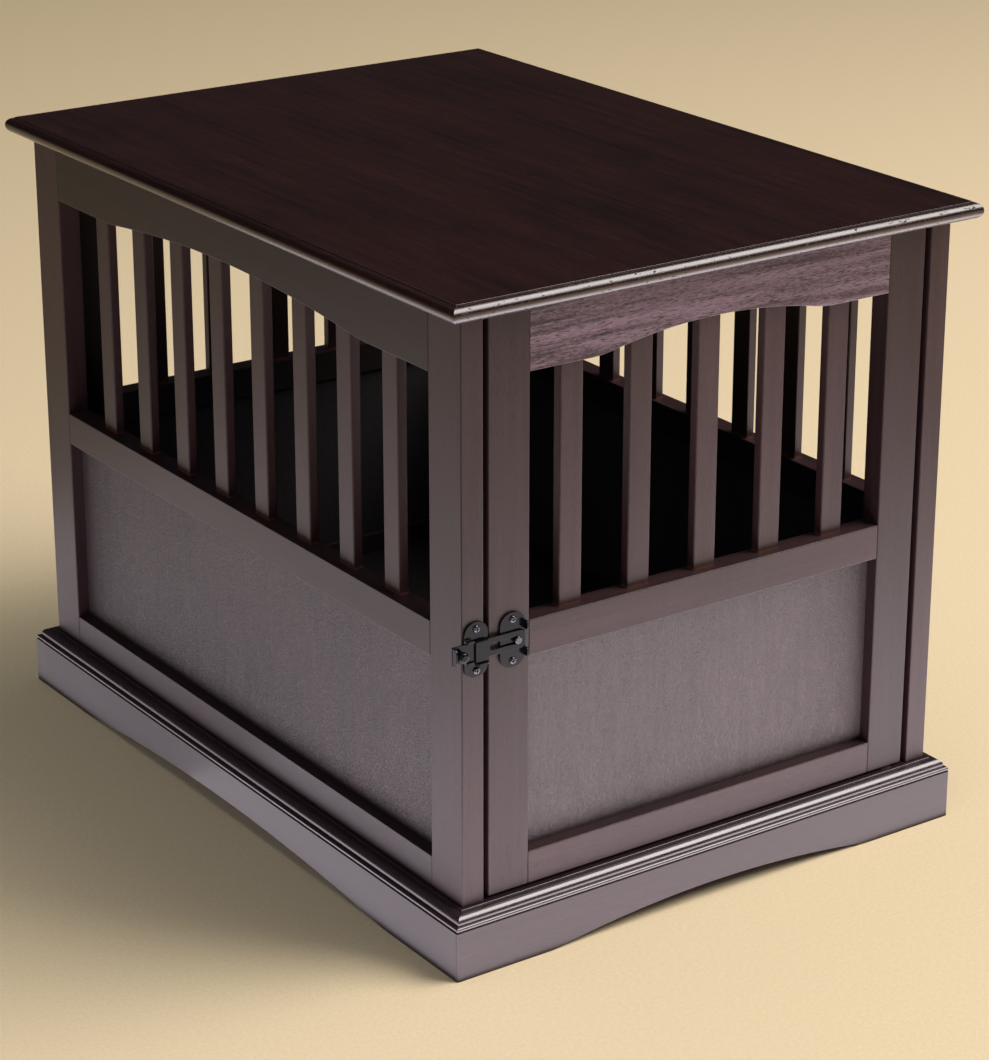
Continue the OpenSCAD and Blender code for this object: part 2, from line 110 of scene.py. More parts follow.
def start_edit(piece, kind):
    """Goes into edit mode with nothing selected."""
    only(piece)
    bpy.ops.object.mode_set(mode="EDIT")
    bpy.ops.mesh.select_mode(type=kind)
    bpy.ops.mesh.select_all(action="DESELECT")
    return bmesh.from_edit_mesh(piece.data)


def select_edges(piece, wanted):
    """Goes into edit mode with the edges selected for which wanted(end, end) is true."""
    mesh = start_edit(piece, "EDGE")
    for edge in mesh.edges:
        edge.select_set(bool(wanted(*(v.co for v in edge.verts))))
    bmesh.update_edit_mesh(piece.data)


def select_faces(piece, wanted):
    """Goes into edit mode with the faces selected for which wanted(centre, normal) is true."""
    mesh = start_edit(piece, "FACE")
    mesh.normal_update()
    for face in mesh.faces:
        face.select_set(bool(wanted(face.calc_center_median(), face.normal)))
    bmesh.update_edit_mesh(piece.data)


def leave_edit():
    bpy.ops.object.mode_set(mode="OBJECT")


print("selecting tools ready")

# %% [markdown]
# ### Blocks and eased edges
# A sawn board starts as a cube at its true size. Its place is then moved into its mesh, so that
# the object itself sits at the origin and patterns on its coordinates stay where they are. A
# bevel on chosen edges does what a sanding block or a router does.
# %% Blocks and bevels
def settle(piece):
    """Moves an object's place into its mesh, so that the object sits at the origin."""
    only(piece)
    bpy.ops.object.transform_apply(location=True, rotation=True, scale=True)
    return piece


def block(name, low, high):
    """A cube primitive at its true size and place."""
    low, high = Vector(low), Vector(high)
    bpy.ops.object.select_all(action="DESELECT")
    bpy.ops.mesh.primitive_cube_add(size=1, location=(low + high) / 2, scale=high - low)
    piece = bpy.context.object
    piece.name = name
    return settle(piece)


def ease(piece, radius, segments=3, wanted=lambda a, b: True):
    """Rounds the chosen edges."""
    select_edges(piece, wanted)
    bpy.ops.mesh.bevel(offset=radius, segments=segments, affect="EDGES", clamp_overlap=True)
    leave_edit()
    return piece


print("a bevel of 3 segments turns", 90 / 3, "degrees at each")

# %% [markdown]
# ### Finishing with modifiers
# Joining and cutting are boolean modifiers, applied at once. The last step on every piece is
# shading: flat faces have to stay flat while the eased arrises turn smoothly, and a sawn end has
# to stay crisp. Edges sharper than a bevel's own steps are kept sharp, and weighting the normals
# by face area keeps the wide faces flat.
# %% Modifiers and shading
CRISP = math.radians(44)


def apply_modifier(piece, kind, **settings):
    """Adds one modifier, sets it and applies it at once."""
    only(piece)
    modifier = piece.modifiers.new(kind.lower(), kind)
    for key, value in settings.items():
        setattr(modifier, key, value)
    bpy.ops.object.modifier_apply(modifier=modifier.name)
    return piece


def combine(piece, other, how):
    """Joins a second solid to the first, or cuts it out, and removes the second."""
    apply_modifier(piece, "BOOLEAN", object=other, operation=how, solver="EXACT")
    bpy.data.objects.remove(other)
    return piece


def polish(piece):
    """Smooth shading that keeps flat faces flat and lets only the eased arrises turn."""
    only(piece)
    bpy.ops.object.shade_smooth_by_angle(angle=CRISP)
    return apply_modifier(piece, "WEIGHTED_NORMAL", mode="FACE_AREA", weight=60, keep_sharp=True)


print("edges over", round(math.degrees(CRISP)), "degrees stay crisp")

# %% [markdown]
# ## The grain
# A stain shows the wood's figure, and the figure runs along each board. So every board carries an
# attribute called grain: its own coordinates in metres, with the first one along the board, moved
# to a place of its own so that no two boards match. One stain material then serves them all. Two
# more attributes say how light the board took the stain and how bold its figure is.
# %% Grain attributes
ALONG = {"x": (0, 1, 2), "y": (1, 0, 2), "z": (2, 0, 1)}
board_luck = random.Random(7)


def lay_grain(piece, along, tone=0.5, figure=0.3):
    """Writes the grain coordinates and the board's tone and boldness of figure."""
    order = ALONG[along]
    shift = [board_luck.uniform(0, 9) for _ in range(3)]
    mesh = piece.data
    grain = mesh.attributes.new("grain", "FLOAT_VECTOR", "POINT")
    spread = [c for v in mesh.vertices for c in (v.co[order[i]] + shift[i] for i in range(3))]
    grain.data.foreach_set("vector", spread)
    tone += board_luck.uniform(-0.08, 0.08)
    for name, value in (("tone", tone), ("figure", figure)):
        made = mesh.attributes.new(name, "FLOAT", "POINT")
        made.data.foreach_set("value", [value] * len(mesh.vertices))
    return piece


print("grain can run along", ", ".join(ALONG))

# %% [markdown]
# ## Materials
# Each finish is a small tree of nodes, and one helper adds any node: its own settings, its inputs
# as values or links, and the output that is wanted. Colours are written as sRGB hex, as a paint
# card gives them, and turned to the linear values that a shader mixes.
# %% Colours and nodes
COLOURS = {"data_type": "RGBA", "out": 2}    # a Mix node's colours are its inputs 6 and 7


def colour(code):
    """An sRGB hex colour as a linear RGBA."""
    channels = [int(code[i:i + 2], 16) / 255 for i in (1, 3, 5)]
    return (*[c / 12.92 if c <= 0.04045 else ((c + 0.055) / 1.055) ** 2.4 for c in channels], 1.0)


def add(tree, kind, inputs=(), out=0, **settings):
    """Adds one node and gives one of its outputs; inputs are values or links."""
    made = tree.nodes.new("ShaderNode" + kind)
    for key, value in settings.items():
        setattr(made, key, value)
    for key, value in (inputs.items() if isinstance(inputs, dict) else enumerate(inputs)):
        if isinstance(value, bpy.types.NodeSocket):
            tree.links.new(value, made.inputs[key])
        else:
            made.inputs[key].default_value = value
    return made.outputs[out]


print("a mid grey card reads", round(colour("#808080")[0], 3))

# %% [markdown]
# ### What the finishes share
# A new material already holds a shader. Every finish here gives it three things: a colour, a
# roughness and a bump of a real depth. Patterns are noise whose patches have a real size, long
# along the board and narrow across it, which is how wood differs from stone.
# %% Shader and patches
def new_material(name):
    """A new material, its tree and its shader."""
    material = bpy.data.materials.new(name)
    material.use_nodes = True
    return material, material.node_tree, material.node_tree.nodes["Principled BSDF"]


def plug_in(tree, shader, base, rough, height, strength, depth):
    """Gives the shader its colour, its roughness and a bump of a real depth."""
    bump = add(tree, "Bump", {"Height": height, "Strength": strength, "Distance": depth}, "Normal")
    for socket, source in (("Base Color", base), ("Roughness", rough), ("Normal", bump)):
        tree.links.new(source, shader.inputs[socket])


def patches(tree, place, long, wide, detail=2.0, rough=0.5, warp=0.0):
    """Uneven patches of a real size, long by wide, between 0 and 1."""
    scaled = add(tree, "VectorMath", [place, (1 / long, 1 / wide, 1 / wide)], operation="MULTIPLY")
    return add(tree, "TexNoise", {"Vector": scaled, "Scale": 1.0, "Detail": detail,
                                  "Roughness": rough, "Distortion": warp}, "Fac")


def looks_inward(tree, reach_x, reach_y):
    """1 on a board's face inside the crate, 0 on all its other faces."""
    place = add(tree, "TexCoord", out="Object")
    inner = 1.0
    for axis, reach in (("X", reach_x), ("Y", reach_y)):
        away = add(tree, "Math", [add(tree, "SeparateXYZ", [place], axis)], operation="ABSOLUTE")
        within = add(tree, "Math", [away, reach], operation="LESS_THAN")
        inner = add(tree, "Math", [inner, within], operation="MULTIPLY")
    return inner


print("shared parts of the finishes ready")

# %% [markdown]
# ### Espresso stain under satin lacquer
# Rubberwood frames are dipped in a nearly black brown stain and sprayed with satin lacquer. The
# eye sees three things: slow bands where the wood took more or less stain, the short dark dashes
# of open pores, and a broad soft gloss. The pores of the real wood are about 0.2 mm wide, too fine
# to show, so they are drawn about 1 mm wide. Faces inside the crate are painted darker, which is
# painted shade for the inside of the crate, and they are duller.
# %% Stained wood
BAND_LONG, BAND = 260 * MM, 11 * MM        # a band of figure
CLOUD_LONG, CLOUD = 200 * MM, 71.43 * MM   # a patch that took more stain
PORE_LONG, PORE = 9 * MM, 1.0 * MM         # a pore's dash
INSIDE_SHADE = colour("#0a0605")                  # painted shade on the inner faces
PORE_DARK = colour("#0b0706")
FRAME_REACH = (244.7 * MM, 356.2 * MM)     # frame faces nearer the middle than this look inward
PANEL_REACH = (249.7 * MM, 360.7 * MM)     # and panel faces


def stained_wood(name, dark, light, red, gloss, reach=None, bump_mm=0.25, shine=0.5,
                 fibre_mm=(4, 1.1)):
    """Espresso stain: its dark and light ends, a red cast in the clouds, and a gloss."""
    material, tree, shader = new_material(name)
    place = add(tree, "Attribute", out="Vector", attribute_name="grain")
    tone = add(tree, "Attribute", out="Fac", attribute_name="tone")
    figure = add(tree, "Attribute", out="Fac", attribute_name="figure")
    bands = patches(tree, place, BAND_LONG, BAND, 3, 0.55, 0.9)
    clouds = patches(tree, place, CLOUD_LONG, CLOUD, 2, 0.5, 0.4)
    pores = patches(tree, place, PORE_LONG, PORE, 2, 0.6)
    fibres = patches(tree, place, *(size * MM for size in fibre_mm), 3, 0.7)
    # how much of the light end shows: bands, then clouds, then fibres
    band = add(tree, "MapRange", [bands, 0.36, 0.64, -0.5, 0.5])
    taken = add(tree, "Math", [band, figure, 0.15], operation="MULTIPLY_ADD")
    taken = add(tree, "Math", [clouds, 0.7, taken], operation="MULTIPLY_ADD")
    contrast = add(tree, "Math", [figure, 1.8, 0.25], operation="MULTIPLY_ADD")
    fibre = add(tree, "Math", [fibres, 0.5], operation="SUBTRACT")
    taken = add(tree, "Math", [fibre, contrast, taken], operation="MULTIPLY_ADD")
    base = add(tree, "Mix", {0: taken, 6: colour(dark), 7: colour(light)}, **COLOURS)
    cast = add(tree, "Math", [clouds, 0.55], operation="MULTIPLY")
    base = add(tree, "Mix", {0: cast, 6: base, 7: colour(red)}, **COLOURS)
    # pores, and then the tone of the whole board
    speck = add(tree, "MapRange", [pores, 0.34, 0.47, 1.0, 0.0])
    depth = add(tree, "Math", [figure, 0.6, 0.25], operation="MULTIPLY_ADD")
    darkened = add(tree, "Math", [speck, depth], operation="MULTIPLY")
    base = add(tree, "Mix", {0: darkened, 6: base, 7: PORE_DARK}, **COLOURS)
    lightness = add(tree, "Math", [tone, 1.2, 0.4], operation="MULTIPLY_ADD")
    base = add(tree, "Mix", {0: 1.0, 6: base, 7: lightness}, blend_type="MULTIPLY", **COLOURS)
    rough = add(tree, "Math", [fibres, 0.16, gloss - 0.13], operation="MULTIPLY_ADD")
    rough = add(tree, "Math", [clouds, 0.10, rough], operation="MULTIPLY_ADD")
    if reach:
        # inner faces: painted shade, mixed towards near black, and made duller
        inner = looks_inward(tree, *reach)
        inside_shade_amount = add(tree, "Math", [inner, 0.7], operation="MULTIPLY")
        base = add(tree, "Mix", {0: inside_shade_amount, 6: base, 7: INSIDE_SHADE}, **COLOURS)
        rough = add(tree, "Math", [inner, 0.3, rough], operation="MULTIPLY_ADD")
    height = add(tree, "Math", [fibres, 0.25], operation="MULTIPLY")
    height = add(tree, "Math", [speck, -0.35, height], operation="MULTIPLY_ADD")
    height = add(tree, "Math", [clouds, 1.6, height], operation="MULTIPLY_ADD")
    plug_in(tree, shader, base, rough, height, 0.35, bump_mm * MM)
    shader.inputs["Specular IOR Level"].default_value = shine
    return material


# %% Stains of the frames
# A thin lacquer in the grain of open-pored wood shines less than glass does, hence the low shine.
SATIN = {"reach": FRAME_REACH, "shine": 0.26}
espresso_frame = stained_wood("espresso stained rubberwood, satin lacquer",
                              "#1c1012", "#36262a", "#34201e", 0.40, **SATIN)
espresso_valance = stained_wood("espresso stained rail, thinly lacquered",
                                "#251a1e", "#66555f", "#3c2629", 0.44, **SATIN)
# A darker copy of the frame stain for the parts inside the crate: painted shade for the dark inside.
# It is also unlacquered and duller.
inside_stain_with_shade = stained_wood("espresso stain, unlacquered inside",
                               "#0a0606", "#130c0c", "#100807", 0.62)
print("frame stains made")

# %% Stains of the mouldings and the top
# The plinth is satin like the frames. The moulded cap and the top were rubbed and sprayed again,
# so they are smoother and mirror more.
espresso_plinth = stained_wood("espresso stained plinth, satin lacquer",
                               "#1a1113", "#302426", "#2a1b1c", 0.40, shine=0.34)
espresso_cap = stained_wood("espresso stained moulding, semi-gloss lacquer",
                            "#20151a", "#382a30", "#2e1c20", 0.24, shine=0.9, bump_mm=0.05)
espresso_top = stained_wood("espresso stained tabletop, semi-gloss lacquer",
                            "#0b0505", "#2d1612", "#280d0a", 0.26, shine=0.75, bump_mm=0.10,
                            fibre_mm=(45, 1.5))
print("moulding and top stains made")

# %% [markdown]
# ### Worn nose
# The front edge of a table gets knocked. Each knock breaks the lacquer and leaves a small dark
# dull spot, so a few patches of noise near that edge change both the colour and the roughness.
# %% Knocks along the front edge
KNOCK_LONG, KNOCK = 5.882 * MM, 2.381 * MM
DULL = (0.8, 0.8, 0.8, 1.0)


def worn_nose(material, y, z):
    """Small knocks where the surface is in front of y and below z."""
    tree = material.node_tree
    shader = tree.nodes["Principled BSDF"]
    place = add(tree, "TexCoord", out="Object")
    worn = add(tree, "MapRange", [patches(tree, place, KNOCK_LONG, KNOCK, 2, 0.6), 0.63, 0.68, 0, 1])
    for axis, limit in (("Y", y), ("Z", z)):
        along = add(tree, "SeparateXYZ", [place], axis)
        within = add(tree, "Math", [along, limit], operation="LESS_THAN")
        worn = add(tree, "Math", [worn, within], operation="MULTIPLY")
    for socket, worn_to in (("Base Color", colour("#080404")), ("Roughness", DULL)):
        whole = shader.inputs[socket].links[0].from_socket
        worn_in = add(tree, "Mix", {0: worn, 6: whole, 7: worn_to}, **COLOURS)
        tree.links.new(worn_in, shader.inputs[socket])


top_low, top_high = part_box("tabletop")
NOSE_STEP, NOSE_R, NOSE_CORNER = 1.0 * MM, 7.35 * MM, 0.9 * MM
worn_nose(espresso_top, top_low.y + NOSE_R, top_high.z - NOSE_STEP / 2)
print("knocks are in front of y", round(top_low.y + NOSE_R, 4))

# %% [markdown]
# ### Embossed panel board
# The lower panels are thin board with an embossed, stained face: a fine pebbly grain that runs
# upright, with loose darker streaks in it. Nothing on it is as smooth as the lacquered frames, so
# its gloss is broad and it looks lighter and flatter than they do.
# %% Panel board
PEBBLE_LONG, PEBBLE = 3.4 * MM, 1.5 * MM
STREAK_LONG, STREAK = 60 * MM, 8 * MM
DRIFT_LONG, DRIFT = 166.7 * MM, 111.1 * MM
PIT_LONG, PIT = 4.5 * MM, 1.2 * MM


def embossed_board(name, dark, light, reach):
    """Thin stained board with a pebbled face: pebbles, darker streaks, slow drifts and pits."""
    material, tree, shader = new_material(name)
    place = add(tree, "Attribute", out="Vector", attribute_name="grain")
    pebbles = patches(tree, place, PEBBLE_LONG, PEBBLE, 3, 0.6, 1.6)
    streaks = patches(tree, place, STREAK_LONG, STREAK, 2, 0.6, 0.5)
    drifts = patches(tree, place, DRIFT_LONG, DRIFT, 2, 0.5)
    pits = patches(tree, place, PIT_LONG, PIT, 2, 0.6)
    raised = add(tree, "MapRange", [pebbles, 0.38, 0.60, 0, 1])
    shade = add(tree, "Math", [raised, 0.45, -0.45], operation="MULTIPLY_ADD")
    shade = add(tree, "Math", [streaks, 0.8, shade], operation="MULTIPLY_ADD")
    shade = add(tree, "Math", [drifts, 0.6, shade], operation="MULTIPLY_ADD")
    base = add(tree, "Mix", {0: shade, 6: colour(dark), 7: colour(light)}, **COLOURS)
    pitted = add(tree, "MapRange", [pits, 0.28, 0.36, 0.7, 0.0])
    base = add(tree, "Mix", {0: pitted, 6: base, 7: colour("#140c0c")}, **COLOURS)
    # inner faces: painted shade, mixed towards near black, and made duller
    inner = looks_inward(tree, *reach)
    inside_shade_amount = add(tree, "Math", [inner, 0.8], operation="MULTIPLY")
    base = add(tree, "Mix", {0: inside_shade_amount, 6: base, 7: INSIDE_SHADE}, **COLOURS)
    rough = add(tree, "Math", [raised, -0.10, 0.52], operation="MULTIPLY_ADD")
    rough = add(tree, "Math", [inner, 0.3, rough], operation="MULTIPLY_ADD")
    plug_in(tree, shader, base, rough, raised, 0.7, 0.4 * MM)
    return material


espresso_panel = embossed_board("espresso stained embossed board", "#1d1516", "#423538",
                                PANEL_REACH)
print("panel board made, pebbles", round(PEBBLE_LONG / MM, 1), "mm long")

# %% [markdown]
# ### Metal, nylon and bare wood
# The latch is stamped steel under black paint that has flowed over the edges, so it is smooth with
# a slight orange peel. Its screws and the guide pin are plated black nickel, a dark mirror that
# turns every light into a bright point. The pins and the hidden screws are bright zinc plate, the
# washers are natural nylon, and the hidden dowels are bare beech.
# %% Small finishes
WANDER = 16.67 * MM   # a patch that is a little duller or lighter than the next


def fine_finish(name, dark, light, rough, cell_mm, metallic=0.0):
    """A smooth manufactured surface: two close tones, a roughness that wanders, a fine bump."""
    material, tree, shader = new_material(name)
    place = add(tree, "TexCoord", out="Object")
    peel = patches(tree, place, cell_mm * MM, cell_mm * MM)
    wander = patches(tree, place, WANDER, WANDER, 3)
    base = add(tree, "Mix", {0: wander, 6: colour(dark), 7: colour(light)}, **COLOURS)
    duller = add(tree, "Math", [wander, 0.08, rough], operation="MULTIPLY_ADD")
    plug_in(tree, shader, base, duller, peel, 0.4, 0.03 * MM)
    shader.inputs["Metallic"].default_value = metallic
    return material


black_paint = fine_finish("black painted stamped steel", "#04060b", "#080b12", 0.15, 1.2)
black_paint.node_tree.nodes["Principled BSDF"].inputs["Specular IOR Level"].default_value = 0.18
black_screw = fine_finish("black nickel plated screw", "#3d3e44", "#57585e", 0.14, 0.8, 1.0)
zinc_plate = fine_finish("bright zinc plated steel", "#a9adb0", "#c8cbcc", 0.22, 0.9, 1.0)
nylon = fine_finish("natural nylon", "#cfccc0", "#dedbd0", 0.45, 1.5)
dowel_wood = fine_finish("bare beech dowel", "#8d6a48", "#a5825c", 0.6, 1.5)
print("small finishes made")

# %% [markdown]
# ## Boards
# A plain board is a cube at its true size whose arrises are eased by about a millimetre. Left
# sharp, a lacquered edge would show as a line with no width; eased, it catches a thin highlight.
# A finished board takes its stain, rides on the body its frame part belongs to, and stands for it.
# %% Riding on the frame
BODY_OF = {name: node["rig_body"] for name, node in frame["nodes"].items()}
made_boards = []


def hang(piece, node, material):
    """Gives a finished piece its material and body, and hides the frame part it stands for."""
    piece.data.materials.clear()
    piece.data.materials.append(material)
    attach(piece, BODY_OF[node])
    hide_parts(node)
    made_boards.append(piece.name)
    return piece


print(len(BODY_OF), "frame parts to stand for")

# %% [markdown]
# ### Stiles and rails
# Stiles stand upright and rails lie between them, so the grain of a stile runs up and that of a
# rail runs across. The tone of each board differs a little, as it does when boards of one tree are
# dipped together. A loop makes both sides from the same few words.
# %% Plain boards
ARRIS = 1.1 * MM    # the rounding of a sanded arris


def board(node, material, along, radius=ARRIS, tone=0.5, figure=0.3):
    """A plain eased board in the place of a frame part."""
    piece = block(node + "_board", *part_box(node))
    ease(piece, radius)
    lay_grain(polish(piece), along, tone, figure)
    return hang(piece, node, material)


for side in ("left", "right"):
    for part in ("front_stile", "rear_stile"):
        board(f"{side}_{part}", espresso_frame, "z", tone=0.5)
    board(f"{side}_mid_rail", espresso_frame, "y", tone=0.45)
    board(f"{side}_bottom_rail", espresso_frame, "y", tone=0.4)
for part in ("left_stile", "right_stile"):
    board(f"back_{part}", espresso_frame, "z")
for part in ("mid_rail", "bottom_rail"):
    board(f"back_{part}", espresso_frame, "x")
print(len(made_boards), "plain boards")

# %% Boards of the door and the floor
board("door_latch_stile", espresso_frame, "z", tone=0.45, figure=0.4)
board("door_hinge_stile", espresso_frame, "z", tone=0.3, figure=0.4)
board("door_mid_rail", espresso_frame, "x", tone=0.6, figure=0.4)
board("door_bottom_rail", espresso_frame, "x", tone=0.58)
for part in ("floor_panel", "floor_batten"):
    board(part, inside_stain_with_shade, "x", tone=0.3)
print(len(made_boards), "with the door's and the floor's")

# %% [markdown]
# ## Panels
# The panels sit in grooves, so only their faces show. Their corners stay almost sharp.
# %% Lower panels
for node in ("left_panel", "right_panel", "back_panel", "door_panel"):
    board(node, espresso_panel, "z", radius=0.4 * MM)
print("panels made")

# %% [markdown]
# ## Slats
# One slat is modelled for each frame and copied along it, because the real ones are cut from one
# moulding. A slat's two long front arrises are softer than the frame's, and its foot shows a thin
# reddish line where the stain was rubbed through. The copies have meshes and grain of their own.
# %% The slat's own stain
FOOT_LINE = 2.2 * MM
RAGGED = 6.25 * MM    # how often the line wavers


def reddened_foot(source, name, foot_z):
    """The frame's stain with a reddish line just above where a slat enters its rail."""
    material = source.copy()
    material.name = name
    tree = material.node_tree
    shader = tree.nodes["Principled BSDF"]
    place = add(tree, "TexCoord", out="Object")
    height = add(tree, "SeparateXYZ", [place], "Z")
    above = add(tree, "Math", [height, foot_z], operation="SUBTRACT")
    line = add(tree, "Math", [above, FOOT_LINE], operation="DIVIDE")
    reach = add(tree, "Math", [patches(tree, place, RAGGED, RAGGED, 2), 1.4, 0.5],
                operation="MULTIPLY_ADD")
    line = add(tree, "Math", [reach, line], operation="SUBTRACT", use_clamp=True)
    reddened = add(tree, "Math", [line, 0.75], operation="MULTIPLY")
    stained = shader.inputs["Base Color"].links[0].from_socket
    base = add(tree, "Mix", {0: reddened, 6: stained, 7: colour("#6b3d2a")}, **COLOURS)
    tree.links.new(base, shader.inputs["Base Color"])
    return material


mid_rail_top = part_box("left_mid_rail")[1].z
espresso_slat = reddened_foot(espresso_frame, "espresso stained slat with a rubbed foot", mid_rail_top)
print("slats enter their rails at", round(mid_rail_top, 4))


# %% [markdown]
# ### Rows of slats
# The frame part of each fixed frame holds its whole row of slats, so the first slat takes its
# place from the row's end and the pitch from the row's length. In the door every slat is a frame
# part of its own, and each copy moves to its part.
# %% One slat and its copies
def copy_of(piece, name, move):
    """A copy with its own mesh, moved by its vertices."""
    twin = piece.copy()
    twin.data = piece.data.copy()
    twin.name = name
    bpy.context.collection.objects.link(twin)
    twin.data.transform(Matrix.Translation(move))
    return twin


def first_slat(name, low, high):
    return polish(ease(block(name, low, high), 1.4 * MM))


def slat_row(node, count, width, across):
    """Copies one slat along the frame; the frame part holds the whole row."""
    low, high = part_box(node)
    pitch = (high[across] - low[across] - width) / (count - 1)
    end = Vector(high)
    end[across] = low[across] + width
    row = [first_slat(node[:-1] + "_1", low, end)]
    for i in range(1, count):
        move = Vector((0, 0, 0))
        move[across] = i * pitch
        row.append(copy_of(row[0], f"{node[:-1]}_{i + 1}", move))
    for piece in row:
        lay_grain(piece, "z")
        hang(piece, node, espresso_slat)
    print(node, count, "at", round(pitch / MM, 1), "mm")


# %% Slats of the three fixed frames
SIDE_SLATS, END_SLATS = 8, 5
first_low, first_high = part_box("door_slat_1")
SLAT_W = first_high.x - first_low.x
slat_row("left_slats", SIDE_SLATS, SLAT_W, 1)
slat_row("right_slats", SIDE_SLATS, SLAT_W, 1)
slat_row("back_slats", END_SLATS, SLAT_W, 0)

# %% Slats of the door
door_slat = first_slat("door_slat_board_1", first_low, first_high)
door_slats = [door_slat]
for i in range(2, END_SLATS + 1):
    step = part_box(f"door_slat_{i}")[0] - first_low
    door_slats.append(copy_of(door_slat, f"door_slat_board_{i}", step))
for i, piece in enumerate(door_slats):
    lay_grain(piece, "z", 0.6, 0.35)
    hang(piece, f"door_slat_{i + 1}", espresso_slat)
print("door slats", len(door_slats))

# %% [markdown]
# ## Arched boards
# The top rails and the plinth boards have a shallow arch in their lower edge: a long round with
# an easing radius at each end. The board is cut into many short columns along its length, and each
# column's lower edge is lifted to the arch. A boolean with a big round would leave the two easing
# radii out, and a bend needs a window.
# %% Lifting an arch
COLUMNS = 96
EASING = 120 * MM
LONG_EDGE = 50 * MM    # every edge along a board is longer than this, every other one shorter


def arch_height(x, chord, rise):
    """Height of the arch above the board's lower edge, x from its middle."""
    radius = (chord ** 2 + rise ** 2) / (2 * rise)
    end = math.sqrt(2 * rise * (radius + EASING) - rise ** 2)
    meet = end * radius / (radius + EASING)
    x = abs(x)
    if x <= meet:
        return rise - radius + math.sqrt(radius ** 2 - x ** 2)
    if x < end:
        return EASING - math.sqrt(EASING ** 2 - (end - x) ** 2)
    return 0.0


def lift_arch(piece, along, chord, rise):
    """Cuts the board into columns and lifts the lower edge of each to the arch."""
    low = min(v.co.z for v in piece.data.vertices)
    select_edges(piece, lambda a, b: abs(a[along] - b[along]) > LONG_EDGE)
    bpy.ops.mesh.subdivide(number_cuts=COLUMNS)
    mesh = bmesh.from_edit_mesh(piece.data)
    columns = sorted({round(v.co[along], 5) for v in mesh.verts})
    for place in columns:
        lift = arch_height(place, chord, rise)
        if lift <= 0:
            continue
        bpy.ops.mesh.select_all(action="DESELECT")
        bpy.ops.mesh.select_mode(type="VERT")
        mesh = bmesh.from_edit_mesh(piece.data)
        for v in mesh.verts:
            v.select_set(abs(v.co[along] - place) < TINY and v.co.z < low + TINY)
        bmesh.update_edit_mesh(piece.data)
        bpy.ops.transform.translate(value=(0, 0, lift))
    leave_edit()
    return piece


def along_board(along):
    """A test for the long edges of an arched board, its arrises."""
    return lambda a, b: abs((b - a)[along]) > 0.5 * (b - a).length


print("an arch is cut in", COLUMNS + 1, "columns")

# %% [markdown]
# ### Top rails
# The rail over the door was cut from a paler board and lacquered more thinly than the frames, so
# its figure is bold and it has a stain of its own. The others are dark and quiet. After the arch
# is lifted, only the edges that run along the rail are eased, because its ends are glued in.
# %% Arched top rails
VALANCE_RISE = 14 * MM
SIDE_CHORD, DOOR_CHORD = 222 * MM, 122 * MM


def top_rail(node, along, chord, tone, figure, material=espresso_frame):
    """A board with an arch in its lower edge."""
    piece = block(node + "_board", *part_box(node))
    lift_arch(piece, along, chord, VALANCE_RISE)
    ease(piece, ARRIS, 3, along_board(along))
    lay_grain(polish(piece), "xyz"[along], tone, figure)
    return hang(piece, node, material)


# The left rail's tone of 0 is painted shade: the rail is darkened for the dark surroundings that its
# side mirrors.
top_rail("left_top_rail", 1, SIDE_CHORD, 0.0, 0.5)
top_rail("right_top_rail", 1, SIDE_CHORD, 0.25, 0.5)
top_rail("back_top_rail", 0, DOOR_CHORD, 0.4, 0.5)
top_rail("door_top_rail", 0, DOOR_CHORD, 0.8, 1.0, espresso_valance)
print("arched rails done")

# %% [markdown]
# ## Plinth
# The plinth boards meet in mitres at the front, where the corner was rounded after gluing, and the
# back board laps the ends of the side boards. Each board is made full length, arched, given its
# round corner, and then sawn at 45 degrees with bisect, which is how a mitre saw does it.
# %% Sawing a mitre
PLINTH_RISE = 15 * MM
FRONT_FOOT, SIDE_FOOT = 183 * MM, 280 * MM
CORNER_R = 2.5 * MM


def saw(piece, through, normal):
    """Cuts a piece at a plane and keeps the side that the normal points away from."""
    select_faces(piece, lambda c, n: True)
    bpy.ops.mesh.bisect(plane_co=through, plane_no=normal, use_fill=True, clear_outer=True)
    leave_edit()
    return piece


MITRE = math.sqrt(0.5)    # each part of a unit vector at 45 degrees
plinth_low, plinth_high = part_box("plinth_front")
outer_x, outer_y = plinth_high.x, -plinth_low.y
print("plinth corner at", round(outer_x, 4), round(outer_y, 4))


# %% Plinth boards
def plinth_board(node, along, chord, ends):
    """ends: for each mitred end, the sign of its x and y corner."""
    low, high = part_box(node)
    piece = lift_arch(block(node + "_board", low, high), along, chord, PLINTH_RISE)
    corners = [(sx * outer_x, sy * outer_y) for sx, sy in ends]
    if corners:
        ease(piece, CORNER_R, 6, lambda a, b: (b - a).to_2d().length < TINY and any(
            (a.to_2d() - Vector(c)).length < TINY for c in corners))
    for (sx, sy), corner in zip(ends, corners):
        keep = Vector((-sx, sy, 0)) if along == 0 else Vector((sx, -sy, 0))
        saw(piece, (*corner, 0), -keep * MITRE)
    ease(piece, 1.0 * MM, 3, along_board(along))
    lay_grain(polish(piece), "xyz"[along], 0.5, 0.25)
    return hang(piece, node, espresso_plinth)


plinth_board("plinth_front", 0, FRONT_FOOT, [(-1, -1), (1, -1)])
plinth_board("plinth_left", 1, SIDE_FOOT, [(-1, -1)])
plinth_board("plinth_right", 1, SIDE_FOOT, [(1, -1)])
plinth_board("plinth_back", 0, FRONT_FOOT, [])
print("plinth done")

